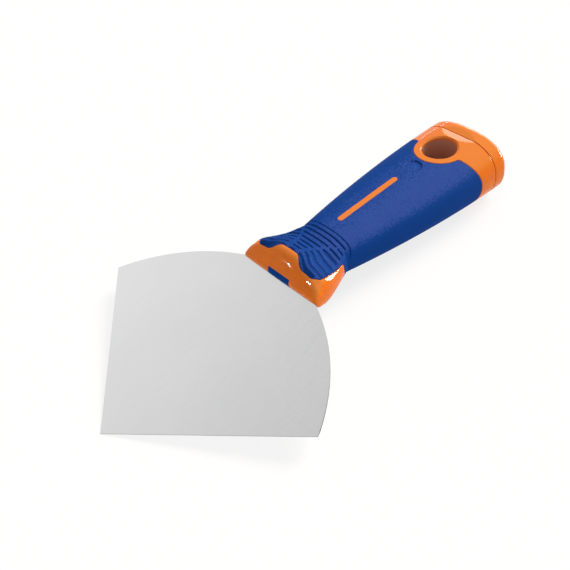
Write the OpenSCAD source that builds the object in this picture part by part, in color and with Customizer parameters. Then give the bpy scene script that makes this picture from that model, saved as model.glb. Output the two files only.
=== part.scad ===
// Flexible putty knife: a pointed spring steel blade in a two-colour moulded handle.
// Y runs along the handle from the bolster to the end cap, Z is up, X is across.
// Every piece is drawn in the handle's own axes and then laid on the table by lay_down().

/* [Blade] */
// Width across the two shoulder corners
blade_w = 140; // [124:1:156]
// Distance from the bolster to the tip
blade_reach = 98.6; // [90:0.2:112]
// Distance from the bolster to the shoulder corners
shoulder_reach = 42; // [36:0.5:48]
// Radius of the round shoulders
shoulder_r = 93.5; // [80:0.5:120]
// Width of the blade where it enters the bolster
neck_w = 49; // [46:0.5:52]
// Thickness of the sheet
blade_t = 0.8; // [0.5:0.1:1.2]
// Width of the ground bevel under the two working edges
bevel_w = 3; // [1:0.5:5]
// Thickness left at the ground edge
edge_t = 0.25; // [0.15:0.05:0.4]
// Angle between the blade and the handle
crank = 10.4; // [4:0.2:14]
// Width of the tang inside the handle
tang_w = 18; // [12:1:20]
// Length of the tang inside the handle
tang_len = 62; // [40:1:72]
// Diameter of the two holes that lock the tang
tang_hole_d = 8; // [5:0.5:9]
// Distance from the bolster to the first tang hole
tang_hole_y = 30; // [24:1:32]
// Distance between the two tang holes
tang_hole_pitch = 20; // [14:1:24]

/* [Handle] */
// Distance from the bolster to the seam of the end cap
seam_y = 116.8; // [112:0.2:130]
// Length of the end cap outside the handle
cap_len = 9; // [7:0.5:14]
// Rounding of the end cap's rim
cap_round = 3.4; // [2:0.5:6]
// Squareness of the handle's section, where 2 is an ellipse
section_power = 2.5; // [2:0.1:3]
// Squareness of the bolster's front lips
nose_power = 4; // [2.5:0.1:5]
// Width of the bolster
nose_w = 48; // [42:0.2:52]
// Height of the bolster at its crest
nose_h = 24; // [22:0.2:28]
// Thickness of the bolster's front lips
lip_h = 4; // [3:0.2:6]
// Distance from the front edge to the crest
crest_y = 8.6; // [7:0.2:10]
// Corner radius of the bolster, seen from above
nose_corner = 1; // [0.5:0.1:4]
// Width of the handle at its waist
waist_w = 30.6; // [28:0.2:36]
// Distance from the front edge to the narrowest place
waist_y = 27; // [25:0.5:32]
// Height of the handle at its saddle
saddle_h = 18.8; // [17.6:0.2:22]
// Distance from the front edge to the lowest place of the saddle
saddle_y = 21; // [18:0.5:25]
// Width of the handle at the end cap
butt_w = 46.6; // [42:0.5:52]
// Height of the handle at the end cap
butt_h = 31; // [28:0.5:34]

/* [Soft grip] */
// Thickness of the soft grip
grip_t = 2.4; // [1.8:0.1:2.8]
// Distance from the front edge to the grip's middle peak
peak_y = 8.8; // [7.5:0.1:10]
// Distance from the front edge to the grip's two front lobes
lobe_y = 4.2; // [3.8:0.1:5]
// Distance from the front edge to the bolster's ears at the sides
ear_y = 23.5; // [20:0.5:26]
// Distance from the front edge to the grip's rear edge at the sides
rear_side_y = 107.4; // [100:0.2:110]
// How much further forward the rear edge lies towards the top
rear_slope = 8.2; // [4:0.2:9]
// Distance from the front edge to the end of the ribbed neck
neck_end_y = 30.6; // [29:0.2:36]
// Depth of the thumb scoops
scoop_depth = 1.3; // [0:0.1:1.6]
// Number of ribs along the neck
rib_count = 8; // [5:1:9]
// Depth of the grooves between the ribs
groove_depth = 0.7; // [0.3:0.1:1]
// Radius of the round injection mark
mark_r = 4.1; // [3:0.1:5]
// Depth of the injection mark in its middle
mark_depth = 0.4; // [0.3:0.05:0.8]
// Distance from the front edge to the injection mark
mark_y = 85; // [78:0.5:86]

/* [Hanging hole and end cap] */
// Diameter of the hanging hole
hole_d = 16.6; // [12:0.2:17]
// Distance from the front edge to the hanging hole
hole_y = 103.2; // [101:0.2:104]
// Chamfer of the hanging hole's rim
hole_chamfer = 1; // [0.4:0.1:1.4]
// Width of the hard rim round the hanging hole
hole_rim = 4; // [3:0.1:4.6]
// Depth of the socket for the end cap
socket_depth = 3.5; // [3:0.1:4]
// Wall round the socket
socket_wall = 3; // [2.4:0.1:4]
// Wall of the end cap and its spigot
cap_wall = 2; // [1.6:0.1:2.6]
// Length of the nail nick's ramp, before the seam
nick_ramp = 3.4; // [2.5:0.1:3.7]
// Length of the nail nick's wall, in the end cap
nick_wall = 1.3; // [0.8:0.1:3]
// Depth of the nail nick
nick_depth = 0.85; // [0.5:0.05:1.5]
// Width of each coring pocket beside the hanging hole
pocket_w = 5.4; // [4:0.2:6]
// Height of each coring pocket
pocket_h = 14; // [10:0.5:16]
// Length of each coring pocket in front of the socket
pocket_len = 26; // [15:1:30]

/* [Lock plug] */
// Width of the plug's window in the bolster
plug_w = 14; // [10:0.5:16]
// Height of the window above and below the middle plane
plug_h = 3.4; // [3:0.1:4.2]
// Depth of the window from the front edge
plug_depth = 5; // [4.5:0.1:6]
// Distance of the plug's face below the bolster's face
plug_recess = 0.2; // [0.1:0.1:1]
// Width of the slot in the blade that the plug passes through
slot_w = 10; // [6:0.5:11]
// Length of the slot in the blade
slot_len = 2; // [1.4:0.1:2.4]

/* [Fits] */
// Clearance round the moulded-in tang and the plug
mould_fit = 0.05; // [0.02:0.01:0.1]
// Clearance between the spigot and its socket
spigot_fit = 0.3; // [0.2:0.05:0.4]
// Gap at the end cap's seam
seam_gap = 0.3; // [0.2:0.05:0.5]

/* [Hidden] */
$fn = 64;

steel = "gainsboro";
orange = "#ec8642";
blue = "#28509a";

// How evenly the width and the height grow from the waist to the butt
width_ease = 1;
height_ease = 0.25;
// Angles from the crest at which the grip's front edge turns
peak_flat_angle = 6;
peak_fall_angle = 14;
lobe_start_angle = 34;
lobe_rise_angle = 30;
ear_start_angle = 60;
ear_rise_angle = 15;
// How far each lobe slopes back before the ear starts
lobe_rise = 2.6;
// Distance from the front edge over which the lips' squareness eases to the handle's
square_y = 6;
// The thumb scoops lie at this angle from the crest, and reach this far each way
scoop_angle = 46;
scoop_spread = 32;
scoop_start_y = 5;
// The middle ribs fan out from the peak to the sides of the neck, first evenly and then in a flare
fan_start_angle = 5;
fan_spread = 10;
fan_flare = 60;
fan_power = 4.2;
// The ribs stop at this angle from the crest
rib_end_angle = 60;
// Blending length of the grip's rear edge where it turns round the hole's rim, and its slope beside it
rear_blend = 1.2;
rim_fall = 3;
// How softly the rear edge turns at the sides
side_ease = 0.12;
// How far the neck's end follows the ears forward at the sides
neck_slant = 0.25;

// Columns round the handle and how far they crowd towards the top and bottom
columns = 72;
crowding = 6;
steps_per_rib = 4;
nose_steps = [0, 0.04, 0.12, 0.24, 0.38, 0.53, 0.68, 0.84, 1];
spine_steps = [0, 0.08, 0.16, 0.24, 0.36, 0.54, 0.76, 1];
body_steps = [0.05, 0.15, 0.28, 0.44, 0.6, 0.76, 0.9, 1];
rear_steps = [0, 0.35, 0.7, 1];
cap_steps = [0, 15, 30, 45, 60, 75, 90];

cap_end_y = seam_y + cap_len;
cap_front_y = seam_y + seam_gap;
socket_y = seam_y - socket_depth;
spigot_y = socket_y + seam_gap;
rim_r = hole_d / 2 + hole_rim;
// Middle of the slot in the blade
slot_y = plug_depth - slot_len;
// Overlap of the two flat sheets at the bend, and of cutting tools past a face
bend_lap = 0.1;
over = 1;

// Each shoulder arc runs from the bolster to a corner, and its centre lies past the middle line
chord = [(blade_w - neck_w) / 2, shoulder_reach];
arc_height = sqrt(pow(shoulder_r, 2) - pow(norm(chord) / 2, 2)) / norm(chord);
arc_x = (blade_w + neck_w) / 4 - arc_height * chord[1];
arc_y = chord[1] / 2 + arc_height * chord[0];
// Slope of the working edges
tip_slope = (blade_reach - shoulder_reach) / (blade_w / 2);

// Lower side of the tip: the ground edge itself, and the line where the bevel starts
edge_z = blade_t / 2 - edge_t;
bevel_y = bevel_w / cos(atan(tip_slope)) - blade_reach;

// The knife lies on its tip and on the underside of its butt
function turned(p, angle) = [p[0] * cos(angle) - p[1] * sin(angle), p[0] * sin(angle) + p[1] * cos(angle)];
tip_lows = [turned([-blade_reach, edge_z], crank), turned([bevel_y, -blade_t / 2], crank)];
butt_low = [cap_end_y - cap_round, -butt_h / 2];
rest_tilt = max([for (p = tip_lows) atan((butt_low[1] - p[1]) / (butt_low[0] - p[0]))]);
rest_z = -turned(butt_low, -rest_tilt)[1];
// The front and rear ends of the knife as it lies lie equally far from the middle
front_end = turned(turned([-blade_reach, blade_t / 2], crank), -rest_tilt);
rear_end = turned([cap_end_y, butt_h / 2 - cap_round], -rest_tilt);
rest_y = -(front_end[0] + rear_end[0]) / 2;

function mix(a, b, t) = a + (b - a) * t;
function clamp01(t) = min(1, max(0, t));
function smooth(t) = let (u = clamp01(t)) u * u * (3 - 2 * u);
function swell(t, ease) = let (u = clamp01(t)) u * (1 + ease * (1 - u));
function signed_power(v, p) = sign(v) * pow(abs(v), p);
function soft_min(a, b, k) = -k * ln(exp(-a / k) + exp(-b / k));

// Half width and half height of the handle's skin at a distance y from the front edge
function corner_cut(y) = y >= nose_corner ? 0
    : nose_corner - sqrt(pow(nose_corner, 2) - pow(nose_corner - max(0, y), 2));
function half_w(y) = y < waist_y
    ? mix(waist_w, nose_w, cos(90 * clamp01(y / waist_y))) / 2 - corner_cut(y)
    : mix(waist_w, butt_w, swell((y - waist_y) / (seam_y - waist_y), width_ease)) / 2;
function half_h(y) =
    y < crest_y ? mix(lip_h, nose_h, sin(90 * clamp01(y / crest_y))) / 2
    : y < saddle_y ? mix(nose_h, saddle_h, smooth((y - crest_y) / (saddle_y - crest_y))) / 2
    : mix(saddle_h, butt_h, swell((y - saddle_y) / (seam_y - saddle_y), height_ease)) / 2;

// Column angles, crowded where the edges of the grip turn most
function column_angle(i) = let (u = 360 * i / columns) u + crowding * sin(2 * u);
function from_crest(a) = 90 - asin(min(1, abs(sin(a))));

// The grip's front edge: a middle peak, two lobes and an ear at each side
function front_edge(a) = let (b = from_crest(a)) lobe_y
    + (peak_y - lobe_y) * (1 - smooth((b - peak_flat_angle) / peak_fall_angle))
    + lobe_rise * smooth((b - lobe_start_angle) / lobe_rise_angle)
    + (ear_y - lobe_y - lobe_rise) * smooth((b - ear_start_angle) / ear_rise_angle);
// The grip's rear edge: a slanting shoulder that runs forward round the hole's rim
function rear_edge(a) = let (
        b = from_crest(a),
        x = half_w(hole_y) * pow(sin(b), 2 / section_power),
        up = 1 - b / 90,
        shoulder = rear_side_y - rear_slope * up * up / (up + side_ease),
        rim = hole_y - sqrt(max(0, pow(rim_r, 2) - x * x)) + rim_fall * max(0, x - rim_r)
    ) soft_min(shoulder, rim, rear_blend);
function neck_end(a) = neck_end_y - (neck_end_y - ear_y) * neck_slant * smooth(from_crest(a) / 90);

function scoop(y, a) = let (
        across = clamp01(abs(from_crest(a) - scoop_angle) / scoop_spread),
        along = clamp01((y - scoop_start_y) / (waist_y - scoop_start_y))
    ) scoop_depth * pow(cos(90 * across), 2) * pow(sin(180 * along), 2);

// A point of the handle's skin, moved inwards by the given amount
function squareness(y) = mix(nose_power, section_power, smooth(y / square_y));
function skin(y, a, inset) = let (d = inset + scoop(y, a), p = 2 / squareness(y)) [
    (half_w(y) - d) * signed_power(cos(a), p), y, (half_h(y) - d) * signed_power(sin(a), p)
];

function ring(ys, inset) = [for (i = [0:columns - 1]) skin(ys[i], column_angle(i), inset)];
function blend_ys(from, to, t) = [for (i = [0:columns - 1]) mix(from[i], to[i], t)];
function flat_ys(y) = [for (i = [0:columns - 1]) y];
front_ys = [for (i = [0:columns - 1]) front_edge(column_angle(i))];
rear_ys = [for (i = [0:columns - 1]) rear_edge(column_angle(i))];
neck_ys = [for (i = [0:columns - 1]) neck_end(column_angle(i))];

// How far along Y an edge of the grip moves to leave the moulding gap square to that edge
function edge_gap(ys, i) = let (
        prev = (i + columns - 1) % columns,
        next = (i + 1) % columns,
        p = skin(ys[prev], column_angle(prev), 0),
        q = skin(ys[next], column_angle(next), 0)
    ) mould_fit * norm(q - p) / norm([q[0] - p[0], q[2] - p[2]]);
front_in = [for (i = [0:columns - 1]) front_ys[i] + edge_gap(front_ys, i)];
rear_in = [for (i = [0:columns - 1]) rear_ys[i] - edge_gap(rear_ys, i)];

// Depth of the rib grooves at step k of the neck: the middle fan and the side ribs alternate
function fan_angle(t) = fan_start_angle + fan_spread * t + fan_flare * pow(t, fan_power);
function groove(k, a) = let (
        b = from_crest(a),
        t = k / (rib_count * steps_per_rib),
        middle = b < fan_angle(t)
    ) b < rib_end_angle && k % steps_per_rib == (middle ? 1 : 3) ? groove_depth : 0;
function rib_ring(k) = let (
        ys = k == 0 ? front_in : blend_ys(front_ys, neck_ys, k / (rib_count * steps_per_rib))
    ) [for (i = [0:columns - 1]) let (a = column_angle(i)) skin(ys[i], a, groove(k, a))];

// Triangles between neighbouring rings of points, and the flat ends. Each quad is split along the
// same line of the handle whichever way the rings run, so that two skins that face each other match,
// and the split is mirrored from each quarter of the handle to the next.
function quad(a, b, c, d, turn) = turn ? [[a, b, d], [b, c, d]] : [[a, b, c], [a, c, d]];
function band(r0, r1, back) = [for (i = [0:columns - 1]) let (
        j = (i + 1) % columns,
        mirrored = floor(4 * i / columns) % 2 == 1
    ) each quad(r0 * columns + i, r0 * columns + j, r1 * columns + j, r1 * columns + i, back != mirrored)];
function disc(r, forward) = [[for (i = [0:columns - 1])
    r * columns + (forward ? columns - 1 - i : i)]];

// A closed solid through rings of points, with flat ends or joined end to end
module loft(rings, tube = false) {
    last = len(rings) - 1;
    points = [for (r = rings) each r];
    sides = [for (r = [0:last - 1]) each band(r, r + 1, tube && rings[r + 1][0][1] <= rings[r][0][1])];
    ends = tube ? band(last, 0, true) : concat(disc(0, true), disc(last, false));
    polyhedron(points, concat(sides, ends));
}

module lay_down() {
    translate([0, rest_y, rest_z]) rotate([-rest_tilt, 0, 0]) children();
}

// The handle's section at the seam, moved inwards
module butt_section(inset) {
    polygon([for (i = [0:columns - 1])
        let (p = skin(seam_y, column_angle(i), inset)) [p[0], p[2]]]);
}
// A straight prism of that section between two distances from the front edge
module butt_prism(y0, y1, inset) {
    translate([0, y1, 0]) rotate([90, 0, 0]) linear_extrude(y1 - y0) butt_section(inset);
}

// The part of a shape that lies inside both round shoulders of the blade
module between_shoulders(h, grow) {
    intersection() {
        translate([arc_x, -arc_y, -h / 2]) cylinder(r = shoulder_r + grow, h = h, $fn = 180);
        translate([-arc_x, -arc_y, -h / 2]) cylinder(r = shoulder_r + grow, h = h, $fn = 180);
        children();
    }
}
// The flat sheet in front of the bend, before grinding: round shoulders cut to a point
module blade_front() {
    side_x = (blade_reach + bend_lap) / tip_slope;
    between_shoulders(blade_t, 0) translate([0, 0, -blade_t]) linear_extrude(2 * blade_t)
        polygon([[0, -blade_reach], [side_x, bend_lap], [-side_x, bend_lap]]);
}
// Wedge that grinds one working edge on the lower face
module edge_grind() {
    slope = atan((blade_t - edge_t) / bevel_w);
    translate([0, -blade_reach, edge_z]) rotate([0, 0, atan(tip_slope)]) rotate([-slope, 0, 0])
        translate([-blade_w, -blade_w, -4 * blade_t]) cube([2 * blade_w, 2 * blade_w, 4 * blade_t]);
}
// The flat sheet behind the bend: the neck between the shoulders and the tang, with room round it
module tang(grow) {
    h = blade_t + 2 * grow;
    between_shoulders(h, grow)
        translate([-blade_w / 2, -bend_lap, -h / 2]) cube([blade_w, tang_len, h]);
    translate([-tang_w / 2 - grow, 0, -h / 2]) cube([tang_w + 2 * grow, tang_len + grow, h]);
}
module tang_holes(d) {
    for (i = [0, 1]) translate([0, tang_hole_y + i * tang_hole_pitch, -blade_t])
        cylinder(d = d, h = 2 * blade_t);
}
// The bar of the lock plug that passes through the blade, and its slot
module slot_bar(grow, h) {
    translate([-slot_w / 2 - grow, slot_y - slot_len / 2 - grow, -h / 2])
        cube([slot_w + 2 * grow, slot_len + 2 * grow, h]);
}
// The blade in the handle's axes, bent at the bolster's front edge
module blade_sheet() {
    rotate([crank, 0, 0]) difference() {
        blade_front();
        edge_grind();
        mirror([1, 0, 0]) edge_grind();
    }
    difference() {
        tang(0);
        tang_holes(tang_hole_d);
        slot_bar(0, 2 * blade_t);
    }
}
// The room that the moulding leaves for the tang, with posts through its holes
module tang_room() {
    difference() {
        tang(mould_fit);
        tang_holes(tang_hole_d - 2 * mould_fit);
    }
}

module nail_nick() {
    translate([0, seam_y, butt_h / 2 - nick_depth]) rotate([90, 0, 90])
        linear_extrude(butt_w, center = true) polygon([[0, 0],
            [2 * nick_wall, 2 * nick_depth], [-2 * nick_ramp, 2 * nick_depth]]);
}
module hanging_hole() {
    rim_z = half_h(hole_y) - hole_chamfer;
    translate([0, hole_y, -butt_h]) cylinder(d = hole_d, h = 2 * butt_h);
    for (side = [0, 1]) mirror([0, 0, side]) translate([0, hole_y, rim_z])
        cylinder(d1 = hole_d, d2 = hole_d + 4 * hole_chamfer, h = 2 * hole_chamfer);
}
// Pocket beside the hanging hole that keeps the moulding's walls even
module coring_pocket() {
    x = hole_d / 2 + socket_wall + pocket_w / 2;
    round_h = pocket_h - pocket_w;
    translate([x, socket_y + over, 0]) rotate([90, 0, 0]) linear_extrude(pocket_len + over) {
        square([pocket_w, round_h], center = true);
        for (side = [-1, 1]) translate([0, side * round_h / 2]) circle(d = pocket_w);
    }
}
module plug_window(grow) {
    translate([-plug_w / 2 - grow, -over, -plug_h - grow])
        cube([plug_w + 2 * grow, plug_depth + over + grow, 2 * (plug_h + grow)]);
}

module blade() {
    color(steel) lay_down() blade_sheet();
}

// Hard core: bolster, hidden spine under the grip, and butt with the hanging hole
module handle_core() {
    seam_ys = flat_ys(seam_y);
    rings = concat(
        [for (t = nose_steps) ring(front_ys * t, 0)],
        [for (t = spine_steps) ring(blend_ys(front_ys, rear_ys, t), grip_t)],
        [for (t = rear_steps) ring(blend_ys(rear_ys, seam_ys, t), 0)]
    );
    color(orange) lay_down() difference() {
        loft(rings);
        tang_room();
        plug_window(0);
        hanging_hole();
        butt_prism(socket_y, seam_y + over, socket_wall);
        coring_pocket();
        mirror([1, 0, 0]) coring_pocket();
        nail_nick();
    }
}

// Soft grip moulded over the spine, with ribs and thumb scoops on the neck
module soft_grip() {
    inner = grip_t - mould_fit;
    last = len(spine_steps) - 1;
    inner_ys = [for (k = [0:last])
        k == 0 ? front_in : k == last ? rear_in : blend_ys(front_ys, rear_ys, spine_steps[k])];
    rings = concat(
        [for (k = [0:rib_count * steps_per_rib]) rib_ring(k)],
        [for (t = body_steps) ring(blend_ys(neck_ys, rear_in, t), 0)],
        [for (k = [0:last]) ring(inner_ys[last - k], inner)]
    );
    color(blue) lay_down() difference() {
        loft(rings, tube = true);
        translate([0, mark_y, half_h(mark_y) - mark_depth]) cylinder(r = mark_r, h = grip_t);
    }
}

// Plug of the soft material that fills the bolster's window and the slot in the blade
module lock_plug() {
    face_slope = PI / 4 * (nose_h - lip_h) / crest_y;
    top_y = (plug_h - lip_h / 2) / face_slope;
    back_y = plug_depth - mould_fit;
    low_z = blade_t / 2 + mould_fit;
    color(blue) lay_down() {
        for (side = [0, 1]) mirror([0, 0, side])
            translate([plug_w / 2 - mould_fit, 0, 0]) rotate([0, -90, 0])
                linear_extrude(plug_w - 2 * mould_fit) polygon([
                    [low_z, plug_recess],
                    [lip_h / 2, plug_recess],
                    [plug_h - mould_fit, top_y + plug_recess],
                    [plug_h - mould_fit, back_y],
                    [low_z, back_y]
                ]);
        slot_bar(-mould_fit, lip_h / 2);
    }
}

// Pull-off end cap with a hollow spigot
module end_cap() {
    cap_ys = [for (q = cap_steps) cap_end_y - cap_round * (1 - sin(q))];
    rings = concat(
        [ring(flat_ys(cap_front_y), 0)],
        [for (i = [0:len(cap_steps) - 1])
            ring(flat_ys(cap_ys[i]), cap_round * (1 - cos(cap_steps[i])))]
    );
    spigot_inset = socket_wall + spigot_fit;
    color(orange) lay_down() difference() {
        union() {
            loft(rings);
            butt_prism(spigot_y, cap_front_y + over, spigot_inset);
        }
        butt_prism(spigot_y - over, cap_end_y - cap_wall - over, spigot_inset + cap_wall);
        nail_nick();
    }
}

blade();
handle_core();
soft_grip();
lock_plug();
end_cap();
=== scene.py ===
"""Flexible putty knife: moulded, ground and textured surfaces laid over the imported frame.

Shapes are worked out in millimetres in the handle's own axes: X across, Y from the bolster's
front edge to the end cap, Z up. Rest.to_row lays them on the table and turns them to metres.
"""

import logging
import math
from dataclasses import dataclass
from enum import Enum
from typing import Any, ClassVar

import bmesh
import bpy
import numpy as np
from mathutils import Matrix, Quaternion, Vector


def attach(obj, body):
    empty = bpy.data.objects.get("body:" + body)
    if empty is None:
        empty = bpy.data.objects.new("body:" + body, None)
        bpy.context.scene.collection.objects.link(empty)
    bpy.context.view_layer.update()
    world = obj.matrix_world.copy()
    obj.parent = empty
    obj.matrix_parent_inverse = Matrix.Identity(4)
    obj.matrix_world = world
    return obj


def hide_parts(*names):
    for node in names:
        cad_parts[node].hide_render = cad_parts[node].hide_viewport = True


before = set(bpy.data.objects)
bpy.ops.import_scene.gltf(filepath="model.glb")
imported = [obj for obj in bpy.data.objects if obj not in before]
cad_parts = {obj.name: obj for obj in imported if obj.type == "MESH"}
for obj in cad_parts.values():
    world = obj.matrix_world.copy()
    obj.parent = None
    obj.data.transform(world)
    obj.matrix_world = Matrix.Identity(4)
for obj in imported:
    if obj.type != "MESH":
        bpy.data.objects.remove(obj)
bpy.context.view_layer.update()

Array = np.ndarray
Value = np.ndarray | float
Point = tuple[float, float, float]
Pair = tuple[float, float]
Node = bpy.types.Node
Tree = bpy.types.NodeTree
LOG = logging.getLogger("putty_knife")
MM = 0.001
# Points of a piece that are this close, in millimetres, become one.
WELD = 1e-5
# Values between which a noise pattern mostly lies.
NOISE_LOW, NOISE_HIGH = 0.3, 0.7
# Direction of the faces that get the most painted light: a lighter, yellower orange and a paler
# violet sheen on the blue.
PAINTED_LIGHT_TOWARD = (0.38, -0.2, 0.903)


class Body(str, Enum):
    """Bodies of the frame that pieces ride on."""

    KNIFE = "knife"
    CAP = "cap"


class Slot(str, Enum):
    """Material slots, one for each kind of new piece."""

    CORE = "core"
    GRIP = "grip"
    PLUG = "plug"
    CAP = "cap"


class Toward(float, Enum):
    """Side of an edge that a piece lies on."""

    BLADE = -1.0
    BUTT = 1.0


def mix(start: Any, end: Any, share: Any) -> Any:
    """Goes straight from start to end as share goes from 0 to 1."""
    return start + (end - start) * share


def shares(rows: int) -> Array:
    """Even shares from 0 to 1 in one column, one for each row of a grid."""
    return np.linspace(0, 1, rows)[:, None]


def smooth(share: Value) -> Value:
    """S-shaped step, 3u^2 - 2u^3 of the share held between 0 and 1."""
    u = np.clip(share, 0, 1)
    return u * u * (3 - 2 * u)


def swell(share: Value, ease: float) -> Value:
    """Rise from 0 to 1 that bulges early: u(1 + ease(1 - u))."""
    u = np.clip(share, 0, 1)
    return u * (1 + ease * (1 - u))


def soft_min(a: Value, b: Value, reach: float) -> Value:
    """Smaller of two values with a rounded change-over: -k ln(e^(-a/k) + e^(-b/k))."""
    return -reach * np.logaddexp(-a / reach, -b / reach)


def unit(vectors: Array) -> Array:
    """Scales vectors to length 1."""
    return vectors / np.linalg.norm(vectors, axis=-1, keepdims=True)


def quarter_round(radius: float, rows: int) -> tuple[Array, Array]:
    """Offsets r(1 - cos u) and r(1 - sin u) of a quarter round at even turns u from 0 to 90."""
    turn = np.linspace(0, np.pi / 2, rows)
    return radius * (1 - np.cos(turn)), radius * (1 - np.sin(turn))


def linear(hex_colour: str) -> tuple[float, float, float, float]:
    """Turns an sRGB hex colour to linear RGBA.

    Args:
        hex_colour: Six hex digits with a leading hash.

    Returns:
        Linear red, green and blue with an alpha of 1.
    """
    parts = np.array([int(hex_colour[k:k + 2], 16) / 255 for k in (1, 3, 5)])
    flat = np.where(parts <= 0.04045, parts / 12.92, ((parts + 0.055) / 1.055) ** 2.4)
    return (*flat.tolist(), 1.0)


def per_metre(size_mm: float) -> float:
    """Pattern scale that gives features of the size in millimetres."""
    return 1 / (size_mm * MM)


def add_node(tree: Tree, kind: str, inputs: dict[Any, Any] | None = None, **settings: Any) -> Node:
    """Adds a node, sets its properties, and sets or links its inputs.

    Args:
        tree: Node tree to add to.
        kind: Blender's name for the node type.
        inputs: Socket name or number to a constant, an output, or a node for its first output.
        settings: Properties of the node.

    Returns:
        The new node.
    """
    node = tree.nodes.new(kind)
    for name, value in settings.items():
        setattr(node, name, value)
    for socket, value in (inputs or {}).items():
        source = value.outputs[0] if isinstance(value, Node) else value
        if isinstance(source, bpy.types.NodeSocket):
            tree.links.new(source, node.inputs[socket])
        else:
            node.inputs[socket].default_value = source
    return node


def new_material(name: str) -> tuple[bpy.types.Material, Tree]:
    """Makes an empty node material.

    Args:
        name: Name of the material.

    Returns:
        The material and its tree.
    """
    material = bpy.data.materials.new(name)
    material.use_nodes = True
    material.node_tree.nodes.clear()
    return material, material.node_tree


def facing(tree: Tree, toward: Point, between: Pair, grain: Node | None = None,
           normal: str = "Normal") -> Node:
    """Adds nodes that give 1 to faces that look in a direction and 0 to the others.

    Args:
        tree: Node tree of a material.
        toward: Direction of length 1.
        between: Cosines at which the value starts to rise and has reached 1.
        grain: Noise around 0.5, half of whose departure from it shifts the change-over.
        normal: "Normal" for the smoothed surface, "True Normal" for its flat facets.

    Returns:
        The node with the value.
    """
    surface = add_node(tree, "ShaderNodeNewGeometry").outputs[normal]
    cosine = add_node(tree, "ShaderNodeVectorMath", {0: surface, 1: toward},
                      operation="DOT_PRODUCT").outputs["Value"]
    if grain is not None:
        shift = add_node(tree, "ShaderNodeMath", {0: grain, 1: 0.5}, operation="SUBTRACT")
        cosine = add_node(tree, "ShaderNodeMath", {0: shift, 1: 0.5, 2: cosine},
                          operation="MULTIPLY_ADD")
    return add_node(tree, "ShaderNodeMapRange", {
        "Value": cosine, "From Min": between[0], "From Max": between[1]},
        interpolation_type="SMOOTHSTEP")


def add_object(name: str, data: bpy.types.ID) -> bpy.types.Object:
    """Adds an object to the scene.

    Args:
        name: Name of the object.
        data: Its mesh, lamp or camera.

    Returns:
        The new object.
    """
    thing = bpy.data.objects.new(name, data)
    bpy.context.scene.collection.objects.link(thing)
    return thing


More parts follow.
